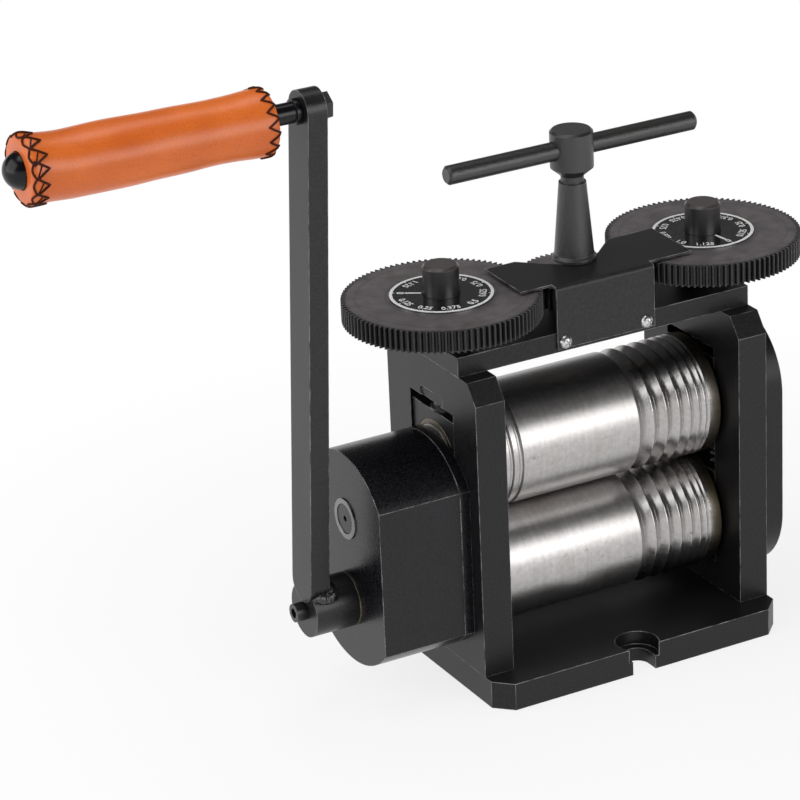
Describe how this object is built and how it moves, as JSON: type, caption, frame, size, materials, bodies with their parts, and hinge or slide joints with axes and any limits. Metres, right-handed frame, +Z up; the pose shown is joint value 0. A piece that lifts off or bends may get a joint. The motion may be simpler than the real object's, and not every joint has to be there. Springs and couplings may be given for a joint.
{
  "type": "hand-cranked rolling mill",
  "caption": "Bench rolling mill for wire and sheet: crank with leather grip, gearbox, grooved rollers, and a tee handle that sets the gap.",
  "frame": {"origin": "on the bench surface, under the middle of the rollers, midway between the side plates", "axes": "+X along the rollers, away from the crank; +Y to the back; +Z up"},
  "size_m": [0.3594, 0.098, 0.2808],
  "materials": {
    "black_steel": "satin black paint, worn bright along the edges",
    "black_oxide": "black oxide on steel, slightly glossy",
    "ground_steel": "ground bright steel",
    "machined_steel": "machined steel, lightly oiled",
    "bright_plating": "bright zinc or nickel plating",
    "bronze": "plain bearing bronze",
    "dial_face": "black dial with white numbers and ticks",
    "grip_wood": "turned hardwood under the leather",
    "tan_leather": "tan leather with brown zigzag stitching at both ends"
  },
  "bodies": {
    "frame": {"base_plate": "black_steel", "left_side_plate": "black_steel", "right_side_plate": "black_steel", "bridge_bar": "black_steel", "base_screws": "black_oxide", "bar_screws": "black_oxide", "left_lower_block": "machined_steel", "right_lower_block": "machined_steel", "left_lower_bush": "bronze", "right_lower_bush": "bronze", "lift_springs": "machined_steel", "gearbox_back_plate": "black_steel", "gearbox_cover": "black_steel", "gearbox_screws": "black_oxide", "countershaft_ring": "bright_plating", "crank_bush": "bronze", "right_gear_cover": "black_steel", "right_cover_screws": "black_oxide", "gear_guard": "black_steel", "guard_screws": "bright_plating", "left_screw_nut": "black_steel", "right_screw_nut": "black_steel", "tee_bush": "bronze"},
    "crank": {"crank_arm": "black_steel", "crank_hub": "black_steel", "hub_weld": "black_oxide", "crank_pinion_shaft": "machined_steel", "crank_cap_screw": "black_oxide", "grip_spindle": "black_oxide", "spindle_nut": "black_oxide"},
    "grip": {"grip_core": "grip_wood", "grip_leather": "tan_leather"},
    "countershaft": {"countershaft": "machined_steel", "countershaft_gear": "machined_steel"},
    "lower_roller": {"lower_roller": "ground_steel", "roller_drive_gear": "machined_steel", "drive_gear_key": "machined_steel", "lower_tie_gear": "machined_steel", "lower_tie_key": "machined_steel"},
    "upper_blocks": {"left_upper_block": "machined_steel", "right_upper_block": "machined_steel", "left_upper_bush": "bronze", "right_upper_bush": "bronze"},
    "upper_roller": {"upper_roller": "ground_steel", "upper_tie_gear": "machined_steel", "upper_tie_key": "machined_steel"},
    "left_dial": {"left_dial_gear": "black_steel", "left_dial_plate": "dial_face", "left_dial_key": "machined_steel"},
    "right_dial": {"right_dial_gear": "black_steel", "right_dial_plate": "dial_face", "right_dial_key": "machined_steel"},
    "left_screw": {"left_adjusting_screw": "black_oxide"},
    "right_screw": {"right_adjusting_screw": "black_oxide"},
    "tee_handle": {"tee_stem": "black_steel", "tee_bar": "black_steel", "centre_pinion": "black_steel", "tee_clip": "black_oxide"}
  },
  "joints": [
    {"name": "crank_spin", "type": "hinge", "parent": "frame", "child": "crank", "pos_m": [-0.12, 0, 0.045], "axis": [1, 0, 0], "continuous": true},
    {"name": "grip_spin", "type": "hinge", "parent": "crank", "child": "grip", "pos_m": [-0.1976, -0.02234, 0.26688], "axis": [1, 0, 0], "continuous": true},
    {"name": "countershaft_spin", "type": "hinge", "parent": "frame", "child": "countershaft", "pos_m": [-0.09, 0, 0.081], "axis": [1, 0, 0], "continuous": true},
    {"name": "lower_roller_spin", "type": "hinge", "parent": "frame", "child": "lower_roller", "pos_m": [0, 0, 0.045], "axis": [1, 0, 0], "continuous": true},
    {"name": "roll_gap", "type": "slide", "parent": "frame", "child": "upper_blocks", "axis": [0, 0, 1], "range_m": [-0.0004, 0.003], "deforming": ["lift_springs"]},
    {"name": "upper_roller_spin", "type": "hinge", "parent": "upper_blocks", "child": "upper_roller", "pos_m": [0, 0, 0.0975], "axis": [1, 0, 0], "continuous": true},
    {"name": "tee_spin", "type": "hinge", "parent": "frame", "child": "tee_handle", "pos_m": [0, 0, 0.16], "axis": [0, 0, 1], "range_deg": [-1543, 206]},
    {"name": "left_dial_spin", "type": "hinge", "parent": "frame", "child": "left_dial", "pos_m": [-0.0628, 0, 0.164], "axis": [0, 0, 1], "range_deg": [-116, 865]},
    {"name": "right_dial_spin", "type": "hinge", "parent": "frame", "child": "right_dial", "pos_m": [0.0628, 0, 0.164], "axis": [0, 0, 1], "range_deg": [-116, 865]},
    {"name": "left_screw_spin", "type": "hinge", "parent": "upper_blocks", "child": "left_screw", "pos_m": [-0.0628, 0, 0.15], "axis": [0, 0, 1], "range_deg": [-116, 865]},
    {"name": "right_screw_spin", "type": "hinge", "parent": "upper_blocks", "child": "right_screw", "pos_m": [0.0628, 0, 0.15], "axis": [0, 0, 1], "range_deg": [-116, 865]}
  ],
  "couplings": [
    {"joint": "countershaft_spin", "follows": "crank_spin", "ratio": -0.6},
    {"joint": "lower_roller_spin", "follows": "crank_spin", "ratio": 0.4},
    {"joint": "upper_roller_spin", "follows": "crank_spin", "ratio": -0.4},
    {"joint": "tee_spin", "follows": "roll_gap", "rad_per_m": -8976},
    {"joint": "left_dial_spin", "follows": "roll_gap", "rad_per_m": 5026.5},
    {"joint": "right_dial_spin", "follows": "roll_gap", "rad_per_m": 5026.5},
    {"joint": "left_screw_spin", "follows": "roll_gap", "rad_per_m": 5026.5},
    {"joint": "right_screw_spin", "follows": "roll_gap", "rad_per_m": 5026.5}
  ]
}
